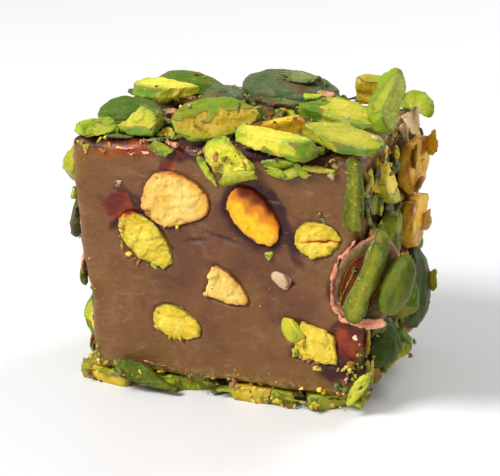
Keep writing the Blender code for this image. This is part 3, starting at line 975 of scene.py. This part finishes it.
CHIPS = (
    # Along the top edge of the front
    Chip("front", -0.7, 13.3, 0.3, -58, (6.2, 1.9, 1.4), "splint", "leaf"),
    Chip("front", -7.4, 16.0, 0.5, -22, (5.0, 2.2, 1.4), "flake", "green"),
    Chip("front", 4.2, 14.0, 0.5, 18, (5.6, 2.4, 1.3), "shaving", "lime", 30),
    Chip("front", 8.2, 14.4, 0.5, -12, (4.6, 2.2, 1.2), "shaving", "leaf", 30),
    Chip("front", 10.6, 14.2, 0.5, 26, (3.4, 1.8, 1.1), "shaving", "lime", -20),
    Chip("front", 12.4, 14.8, 0.6, -34, (3.6, 1.8, 1.2), "flake", "leaf", 20),
    Chip("front", 14.6, 15.2, 0.5, 4, (5.0, 1.8, 1.3), "splint", "ripe", 20),
    Chip("front", 9.6, 15.6, 0.8, 0, (6.0, 2.4, 1.4), "flake", "green", 40),
    Chip("front", 16.4, 14.4, 0.4, -50, (2.6, 1.5, 1.1), "lump", "husk"),
    Chip("top", -2.3, -9.2, 0.1, 8, (9.4, 1.8, 1.2), "splint", "green"),
    Chip("top", -5.6, -11.4, 0.1, 50, (4.6, 1.6, 1.2), "splint", "green"),
    Chip("top", -2.9, -14.6, 1.0, -70, (3.4, 1.4, 1.1), "splint", "yellow", 0, -30),
    Chip("front", 1.0, 14.9, 0.5, 64, (2.6, 1.5, 1.2), "lump", "yellow"),
    # Dark flakes and skin at the front left of the top, partly put there as painted shadow
    Chip("top", -8.6, -13.4, 0.3, 24, (5.0, 2.4, 1.6), "flake", "dark"),
    Chip("top", -6.4, -14.2, 0.3, -40, (4.0, 2.0, 1.4), "splint", "skin"),
    Chip("top", -13.6, -13.8, 0.3, 10, (4.6, 2.2, 1.6), "flake", "dark"),
    Chip("top", 5.4, -13.4, 0.2, 30, (4.6, 2.2, 1.4), "flake", "dark"),
    Chip("top", 3.0, 6.4, 1.6, -8, (8.6, 3.4, 1.6), "flake", "dark"),
    Chip("top", 3.6, 10.6, 0.4, -6, (10.0, 3.4, 1.8), "flake", "dark", 16),
    Chip("top", 7.0, 7.4, 2.2, 14, (3.2, 1.8, 1.4), "shaving", "leaf"),
    Chip("front", -12.4, 15.6, 0.1, 8, (2.8, 1.0, 0.6), "splint", "rose"),
    Chip("front", -10.2, 15.3, 0.1, -6, (2.4, 0.9, 0.5), "splint", "rose"),
    Chip("front", -11.4, 14.9, 0.1, 70, (1.6, 0.8, 0.6), "lump", "husk"),
    Chip("front", -15.2, 16.4, 0.2, -20, (3.2, 2.2, 1.4), "lump", "leaf"),
    Chip("front", -18.0, 15.4, 0.2, 60, (3.0, 1.4, 1.1), "lump", "yellow"),
    # In the cut face
    Chip("front", -13.6, 10.8, 0.1, 60, (1.7, 1.1, 0.9), "lump", "husk"),
    Chip("front", 9.3, -0.9, 0.0, -35, (3.6, 2.2, 0.8), "halved", "husk"),
    Chip("front", 7.6, 2.6, 0.1, 70, (2.2, 1.2, 0.9), "lump", "ripe"),
    Chip("front", 15.0, 8.6, 0.1, -55, (2.2, 0.8, 0.6), "splint", "leaf"),
    Chip("front", -8.4, -0.8, 0.05, 50, (1.2, 0.8, 0.6), "lump", "husk"),
    Chip("front", 11.3, -7.9, 0.3, -46, (5.0, 2.9, 2.0), "halved", "yellow"),
    Chip("front", 12.4, -9.3, 0.3, -20, (2.4, 1.8, 1.4), "lump", "yellow"),
    Chip("front", 11.4, -10.6, 0.1, -64, (2.4, 1.1, 0.9), "lump", "lime"),
    Chip("front", 14.6, -12.6, 0.1, 6, (3.4, 0.9, 0.8), "lump", "yellow"),
    Chip("front", 18.6, 4.7, 0.2, 58, (3.8, 1.6, 1.2), "splint", "rose"),
    Chip("front", 16.9, 2.0, 0.2, 76, (4.2, 1.6, 1.2), "splint", "rose"),
    Chip("front", 16.5, -1.4, 0.2, 95, (4.2, 1.8, 1.2), "splint", "rose"),
    Chip("front", 17.4, -4.2, 0.2, -58, (3.8, 2.0, 1.2), "splint", "rose"),
    Chip("front", 19.8, -5.4, 0.2, -12, (4.4, 2.0, 1.2), "splint", "rose"),
    Chip("front", 22.0, -4.6, 0.3, 12, (3.6, 1.6, 1.2), "splint", "rose"),
    Chip("front", -12.9, 4.8, 0.05, 62, (2.4, 0.7, 0.6), "splint", "rose"),
    Chip("front", 18.4, -0.6, 0.1, 72, (7.0, 1.4, 0.8), "splint", "olive"),
    # Along the foot of the front
    Chip("front", -8.6, -15.0, 0.1, -11, (8.0, 0.5, 0.6), "splint", "skin"),
    Chip("front", -4.4, -15.9, 0.1, -9, (4.0, 0.5, 0.6), "splint", "rose"),
    Chip("front", -3.4, -16.6, 0.3, -6, (4.4, 0.9, 0.8), "splint", "husk"),
    Chip("front", -13.6, -16.8, 0.3, 20, (3.6, 1.8, 1.4), "lump", "skin"),
    Chip("front", -1.2, -17.8, 0.4, -4, (3.6, 1.4, 1.2), "splint", "yellow"),
    Chip("front", 1.8, -17.9, 0.3, 4, (4.0, 1.2, 1.0), "splint", "green"),
    Chip("front", 11.0, -17.6, 0.4, -8, (4.4, 1.6, 1.4), "splint", "green"),
    Chip("front", 17.6, -17.2, 0.6, 30, (5.4, 1.8, 1.4), "splint", "lime"),
    # At the lower right corner
    Chip("front", 18.8, -13.2, 0.4, 76, (3.2, 1.0, 0.8), "splint", "rose"),
    Chip("front", 19.2, -11.2, 0.5, 50, (2.6, 1.4, 1.0), "lump", "gold"),
    Chip("front", 20.4, -14.6, 0.5, 60, (6.4, 2.0, 1.4), "shaving", "lime"),
    Chip("front", 18.9, -12.6, 0.5, 82, (4.4, 1.2, 1.0), "splint", "gold"),
    Chip("front", 17.6, -14.9, 0.3, 24, (2.4, 1.2, 1.0), "lump", "dark"),
    Chip("front", 21.6, -8.0, 0.5, 66, (5.6, 2.0, 1.4), "flake", "dark", 20),
    Chip("front", 22.4, -4.9, 0.6, 6, (5.6, 2.0, 1.0), "flake", "rose"),
    Chip("right", -13.0, -12.3, 1.2, 80, (3.6, 1.3, 1.0), "splint", "ripe"),
    Chip("right", -14.0, -14.2, 1.0, 74, (3.4, 0.9, 0.8), "splint", "rose"),
    Chip("right", -12.4, -8.6, 0.4, 84, (5.0, 1.8, 1.4), "splint", "ripe"),
    # Up the right side
    Chip("right", -2.5, 2.6, 1.4, 30, (3.8, 2.2, 0.8), "flake", "rose"),
    Chip("right", -3.5, 4.4, 1.0, -30, (2.4, 1.6, 0.8), "lump", "rose"),
    Chip("right", 0.6, 4.8, 1.2, 20, (2.4, 1.6, 1.2), "lump", "husk"),
    Chip("right", 3.2, 5.0, 1.0, -10, (3.4, 1.8, 1.2), "splint", "rose"),
    Chip("right", 7.6, 16.2, 1.4, 84, (5.4, 4.6, 1.8), "flake", "husk", 66),
    Chip("right", 4.4, 15.6, 0.9, 100, (4.4, 3.2, 1.6), "flake", "husk", 50),
    Chip("right", 9.4, 13.2, 1.0, 70, (4.6, 3.0, 1.6), "flake", "gold", 60),
    Chip("right", 2.6, 13.0, 0.5, 78, (4.2, 2.6, 1.6), "flake", "gold", 40),
    Chip("right", 3.4, 8.6, 0.6, 20, (3.6, 2.4, 1.4), "splint", "skin", 30),
    Chip("right", 6.0, 6.6, 0.6, 84, (4.8, 3.0, 1.6), "flake", "gold", 60),
    Chip("right", 8.4, 2.4, 0.7, 66, (4.0, 2.8, 1.6), "flake", "husk", 60),
    Chip("right", 6.6, -1.6, 0.6, 96, (4.0, 2.6, 1.6), "flake", "rose", 55),
    Chip("right", 9.0, -6.6, 0.6, 80, (4.4, 2.8, 1.6), "flake", "lime", 55),
    Chip("right", -4.6, -8.0, 0.6, 78, (5.0, 2.6, 1.6), "splint", "dark", 30),
    Chip("right", -9.0, 13.6, 0.6, 70, (4.4, 1.4, 1.2), "splint", "ripe"),
    Chip("right", -7.6, 8.4, 0.6, -60, (3.4, 1.6, 1.2), "shaving", "lime"),
    Chip("top", 18.6, 9.6, 1.0, 10, (2.2, 1.6, 1.2), "lump", "leaf"),
    Chip("top", 17.2, -4.4, 0.1, -50, (3.4, 1.2, 1.0), "splint", "rose"),
    Chip("top", 14.6, -2.2, 0.1, -30, (3.0, 1.0, 0.9), "splint", "husk"),
    Chip("top", 21.4, -12.8, 0.1, -55, (3.2, 1.2, 1.0), "splint", "husk"),
    Chip("top", 4.6, -6.4, 0.3, 40, (3.6, 1.6, 1.2), "splint", "rose"),
    Chip("top", 8.4, 9.4, 0.5, 60, (4.4, 1.8, 1.2), "flake", "rose", 40),
)
# Loose heaps of chopped crumbs on a face: their middle, how far they spread, in millimetres, how many
# there are and how long the largest is
Cluster = namedtuple("Cluster", "face u v height spread count size tints")
CLUSTERS = (
    Cluster("front", 8.3, -17.7, 0.5, (1.9, 0.7), 16, 1.9, ("yellow", "yellow", "lime")),
    Cluster("front", 13.4, -17.9, 0.8, (1.7, 0.8), 14, 2.0, ("yellow", "ripe", "yellow")),
    Cluster("front", -17.0, -16.0, 0.3, (1.6, 1.4), 16, 1.8, ("yellow", "lime", "ripe")),
    Cluster("front", -17.6, -13.6, 0.1, (1.2, 1.6), 7, 0.9, ("ripe", "gold", "yellow")),
    Cluster("front", 15.0, 15.4, 0.7, (2.6, 0.8), 10, 1.7, ("leaf", "ripe", "lime", "gold")),
    Cluster("top", -7.0, -13.0, 0.3, (3.6, 1.4), 12, 1.5, ("skin", "dark", "rose", "gold")),
    Cluster("top", 3.0, -9.0, 0.3, (5.0, 3.0), 12, 1.6, ("skin", "gold", "rose", "dark")),
    Cluster("top", 2.0, 4.0, 0.4, (5.0, 3.0), 16, 2.0, ("lime", "gold", "skin", "ripe")),
    Cluster("front", 20.0, -12.0, 0.5, (1.0, 3.0), 12, 1.7, ("ripe", "husk", "skin", "lime")),
    Cluster("front", 4.6, -17.8, 0.3, (2.0, 0.4), 7, 1.3, ("lime", "ripe", "skin")),
    Cluster("front", 11.0, 14.9, 0.6, (6.0, 0.6), 12, 1.5, ("lime", "husk", "leaf", "yellow")),
    Cluster("right", 0.5, 16.0, 0.4, (6.0, 0.8), 14, 1.8, ("husk", "ripe", "gold", "skin")),
    Cluster("right", -5.0, -2.0, 0.8, (5.0, 5.0), 12, 1.8, ("lime", "ripe", "skin", "husk")),
    Cluster("right", -3.0, -12.0, 0.8, (8.0, 3.0), 16, 1.8, ("lime", "green", "ripe", "skin")),
)

# How the gaps in the coat of each face are filled: how many slivers are tried, and how far past the
# edges of the face they may lie, in millimetres
GAPS = {"top": (200, -0.5), "right": (170, -1.2), "left": (140, -1.5)}
SLIVER_SIZES = ((2.2, 6.0), (1.4, 2.8), (0.9, 2.0))
# The dark tints come twice, partly as painted shade, so that the gaps between the nuts look deep
SLIVER_TINTS = ("lime", "lime", "olive", "green", "green", "yellow", "ripe", "skin", "gold", "dark", "dark")
SLIVER_SINK = 0.15  # share of its thickness that lies in the jelly
FOOT_SLIVERS = 110
FLOOR_GAP = 0.02 * MM


def gap_slivers(batches, heap, chance):
    """Slivers wherever the jelly still shows between the nuts of the coat."""
    for name, (tries, past) in GAPS.items():
        face = FACES[name]
        for _ in range(tries):
            u = chance.uniform(-0.5, 0.5) * (face.width / MM + 2 * past)
            v = chance.uniform(-0.5, 0.5) * (face.height / MM + 2 * past)
            length, width, thickness = (chance.uniform(*limits) for limits in SLIVER_SIZES)
            turn, roll, pitch = chance.uniform(0, 180), chance.uniform(-25, 25), chance.uniform(-18, 18)
            cut, tint = chance.choice(list(SLIVER_CUTS)), chance.choice(SLIVER_TINTS)
            shade = chance.uniform(-0.8, 0.8)
            met = heap.meet(face, u, v)
            if met is None or met[2] != "jelly_block":
                continue
            point = met[0] + face.out * thickness * (0.5 - SLIVER_SINK) * MM
            place = lying(face, point, turn, roll, pitch)
            sliver(batches[tint], place, (length, width, thickness), cut, shade, chance)


def foot_slivers(batches, chance):
    """Slivers squeezed out between the block and the table, all the way round."""
    low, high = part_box("jelly")
    for _ in range(FOOT_SLIVERS):
        side = chance.choice(("front", "front", "right", "left", "back"))
        face = FACES[side]
        u = chance.uniform(-0.5, 0.5) * (face.width / MM - 1)
        length, width, thickness = (chance.uniform(*limits) for limits in SLIVER_SIZES)
        thickness = min(thickness, 1.6)
        point = spot(face, u, 0, chance.uniform(-3.4, -0.2) - length * 0.3)
        point.z = thickness * 0.45 * MM + chance.uniform(0, 1) * max(0, low.z - thickness * MM)
        place = lying(FACES["top"], point, chance.uniform(0, 180), chance.uniform(-12, 12), chance.uniform(-8, 8))
        cut, tint = chance.choice(list(SLIVER_CUTS)), chance.choice(SLIVER_TINTS)
        sliver(batches[tint], place, (length, width, thickness), cut, chance.uniform(-0.8, 0.8), chance)


def clusters(batches, heap, chance):
    for heaped in CLUSTERS:
        face = FACES[heaped.face]
        for _ in range(heaped.count):
            u = chance.gauss(heaped.u, heaped.spread[0] * 0.6)
            v = chance.gauss(heaped.v, heaped.spread[1] * 0.6)
            size = [heaped.size * chance.uniform(0.5, 1) * share for share in (1, 0.7, 0.55)]
            met = heap.meet(face, u, v)
            point = met[0] if met else spot(face, u, v, -0.4)
            point = point + face.out * chance.uniform(0, heaped.height) * MM
            point.z = max(point.z, size[2] / 2 * MM)
            place = lying(face, point, chance.uniform(0, 180), chance.uniform(-40, 40), chance.uniform(-40, 40))
            sliver(batches[chance.choice(heaped.tints)], place, size, "lump", chance.uniform(-0.5, 0.6), chance)


def placed_chips(batches, heap, chance):
    for chip in CHIPS:
        face = FACES[chip.face]
        met = heap.meet(face, chip.u, chip.v)
        point = met[0] if met else spot(face, chip.u, chip.v)
        point = point + face.out * chip.height * MM
        place = lying(face, point, chip.turn, chip.roll, chip.pitch)
        sliver(batches[chip.tint], place, chip.size, chip.cut, chance.uniform(-0.3, 0.5), chance)


def slivers(heap):
    """The pieces of nut that are too small to be parts, one mesh for each tint."""
    chance = random.Random(11)
    batches = {tint: new_batch() for tint in NUT_TINTS}
    placed_chips(batches, heap, chance)
    clusters(batches, heap, chance)
    gap_slivers(batches, heap, chance)
    foot_slivers(batches, chance)
    return [
        refined(f"{tint}_slivers", batch.bm, tint, number * 3.1, USUAL_CRUMBLE, batch.places)
        for number, (tint, batch) in enumerate(batches.items())
        if batch.places
    ]


# Crumbs: for each kind its tint, how many are tried, their sizes in millimetres and how flat they are
Crumbs = namedtuple("Crumbs", "tint count least greatest flatness")
CRUMBS = {
    "yellow_crumbs": Crumbs("yellow", 260, 0.3, 1.1, 0.8),
    "lime_crumbs": Crumbs("lime", 240, 0.3, 1.2, 0.7),
    "green_crumbs": Crumbs("green", 160, 0.3, 1.1, 0.6),
    "skin_flakes": Crumbs("skin", 160, 0.4, 1.5, 0.25),
    "dark_flakes": Crumbs("dark", 110, 0.4, 1.4, 0.25),
    "pale_crumbs": Crumbs("cream", 200, 0.2, 0.7, 0.8),
}
CRUMBY = ("jelly_block",)  # what keeps every crumb that falls on it
RAGGED_KERNELS = ("front_kernel_01", "front_kernel_02", "front_kernel_02", "front_kernel_06", "front_kernel_07")
CRUMB_SHAPES = 12
# What the finish needs to know of a crumb, and between which values each lies
CRUMB_LOOKS = (("skin", 0, 0.5), ("rind", 0, 0.6), ("shade", -0.7, 0.9), ("veil", 0, 0), ("ridge", 0, 0.4))
CRUMB_FACES = (
    ("top", 28), ("right", 24), ("left", 20), ("front_foot", 4), ("front_top", 4), ("corner", 2), ("feet", 14),
    ("kernels", 4),
)
ON_A_NUT = 0.12  # how many of the crumbs that fall on a nut stay there


def crumb_shapes(flatness, chance):
    """A few crumbs of unit size to be used over and over, each of its own shade."""
    shapes = []
    for _ in range(CRUMB_SHAPES):
        bm = bmesh.new()
        bmesh.ops.create_icosphere(bm, subdivisions=1, radius=0.5)
        for vert in bm.verts:
            vert.co *= chance.uniform(0.4, 1.25)
            vert.co = Vector((vert.co.x * 1.5, vert.co.y * 0.8, vert.co.z * flatness))
        for layer, low, high in CRUMB_LOOKS:
            value = chance.uniform(low, high)
            values = bm.verts.layers.float.new(layer)
            for vert in bm.verts:
                vert[values] = value
        mesh = bpy.data.meshes.new("crumb")
        bm.to_mesh(mesh)
        bm.free()
        shapes.append(mesh)
    return shapes


def crumb_spot(heap, chance):
    """Where the next crumb lies, and which way up it is. Most are in the coat, others along the edges
    of the front and squeezed out at the foot."""
    zone = chance.choices([name for name, _ in CRUMB_FACES], [share for _, share in CRUMB_FACES])[0]
    half_width, half_height = WIDTH / 2 / MM, HEIGHT / 2 / MM
    if zone == "feet":
        face = FACES[chance.choice(("front", "right", "left", "back"))]
        point = spot(face, chance.uniform(-0.5, 0.5) * face.width / MM, 0, chance.uniform(-2.5, 0.3))
        point.z = chance.uniform(0.1, 2.4) * MM
        return point, face.out
    face = FACES[zone if zone in FACES else "front"]
    if zone == "kernels":
        node = chance.choice(RAGGED_KERNELS)
        low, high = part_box(node)
        angle = math.radians(chance.gauss(235, 40))
        point = (low + high) / 2
        point.x += math.cos(angle) * (high.x - low.x) / 2 * chance.uniform(0.8, 1.02)
        point.z += math.sin(angle) * (high.z - low.z) / 2 * chance.uniform(0.8, 1.02)
        offset = (point - face.middle) / MM
        u, v = offset.dot(face.right), offset.dot(face.up)
    elif zone == "front_foot":
        u, v = chance.uniform(-half_width, half_width), -half_height + abs(chance.gauss(0, 0.8))
    elif zone == "front_top":
        u, v = chance.uniform(-half_width, half_width), half_height - abs(chance.gauss(0, 1.0))
    elif zone == "corner":
        u, v = half_width - abs(chance.gauss(0, 2.2)), chance.uniform(-half_height, -half_height * 0.72)
    else:
        u, v = (chance.uniform(-0.5, 0.5) * size / MM for size in (face.width, face.height))
    met = heap.meet(face, u, v)
    if met is None or (zone in FACES and met[2] not in CRUMBY and chance.random() > ON_A_NUT):
        return None
    return met[:2]


def crumbs(heap):
    chance = random.Random(23)
    made = []
    for name, kind in CRUMBS.items():
        shapes = crumb_shapes(kind.flatness, chance)
        bm = bmesh.new()
        for _ in range(kind.count):
            found = crumb_spot(heap, chance)
            size = kind.least + (kind.greatest - kind.least) * chance.random() ** 2
            spin = Euler([chance.uniform(0, math.tau) * share for share in (0.15, 0.15, 1)])
            shape = chance.choice(shapes)
            if found is None:
                continue
            point, normal = found
            upright = normal.to_track_quat("Z", "Y").to_matrix() @ spin.to_matrix()
            place = Matrix.Translation(point + normal * size * kind.flatness * 0.2 * MM)
            place = place @ (upright * size * MM).to_4x4()
            shape.transform(place)
            bm.from_mesh(shape)
            shape.transform(place.inverted())
        for vert in bm.verts:
            vert.co.z = max(vert.co.z, FLOOR_GAP)
        mesh = bpy.data.meshes.new(name)
        bm.to_mesh(mesh)
        bm.free()
        made.append(finished(name, mesh, kind.tint))
        mesh.shade_flat()
        for shape in shapes:
            bpy.data.meshes.remove(shape)
    return made


# ---------------------------------------------------------------- stage, lights and camera

CAMERA_AZIMUTH = math.radians(18.4)
CAMERA_RISE = math.radians(18.2)
CAMERA_DISTANCE = 280 * MM
CAMERA_LENS = 143
CAMERA_DROP = 0.5 * MM  # how far below the block's middle it looks


def look(thing, target):
    thing.rotation_euler = (target - thing.location).to_track_quat("-Z", "Y").to_euler()


def camera():
    data = bpy.data.cameras.new("camera")
    data.lens = CAMERA_LENS
    data.sensor_width = 36
    data.clip_start = 0.01
    taker = bpy.data.objects.new("camera", data)
    bpy.context.scene.collection.objects.link(taker)
    level = math.cos(CAMERA_RISE) * CAMERA_DISTANCE
    away = Vector((math.sin(CAMERA_AZIMUTH) * level, -math.cos(CAMERA_AZIMUTH) * level, 0))
    away.z = math.sin(CAMERA_RISE) * CAMERA_DISTANCE
    target = CENTRE - Vector((0, 0, CAMERA_DROP))
    taker.location = target + away
    look(taker, target)
    bpy.context.scene.camera = taker


def lamp(name, location, size, power, target):
    data = bpy.data.lights.new(name, "AREA")
    data.shape = "DISK"
    data.size = size
    data.energy = power
    made = bpy.data.objects.new(name, data)
    made.location = Vector(location)
    bpy.context.scene.collection.objects.link(made)
    look(made, target)


def stage():
    """A plain white table, with a white room round it."""
    bm = bmesh.new()
    bmesh.ops.create_grid(bm, x_segments=1, y_segments=1, size=3)
    mesh = bpy.data.meshes.new("table")
    bm.to_mesh(mesh)
    bm.free()
    finish = Finish("white_table")
    finish.set(base_color=(0.83, 0.83, 0.84), roughness=0.35, specular_ior_level=0.4)
    mesh.materials.append(finish.material)
    table = bpy.data.objects.new("table", mesh)
    bpy.context.scene.collection.objects.link(table)
    world = bpy.data.worlds.new("white_room")
    world.use_nodes = True
    background = world.node_tree.nodes["Background"]
    background.inputs["Color"].default_value = (1, 1, 1, 1)
    background.inputs["Strength"].default_value = 0.43
    bpy.context.scene.world = world
    middle = CENTRE.copy()
    lamp("key_light", (-0.34, -0.36, 0.50), 0.28, 5.4, middle)
    lamp("back_light", (0.25, 0.45, 0.45), 0.3, 2.2, middle)
    bpy.context.scene.view_settings.view_transform = "Standard"


def main():
    pieces = [jelly()] + all_nuts()
    pieces += slivers(Heap(pieces))
    crumbs(Heap(pieces))
    stage()
    camera()


main()
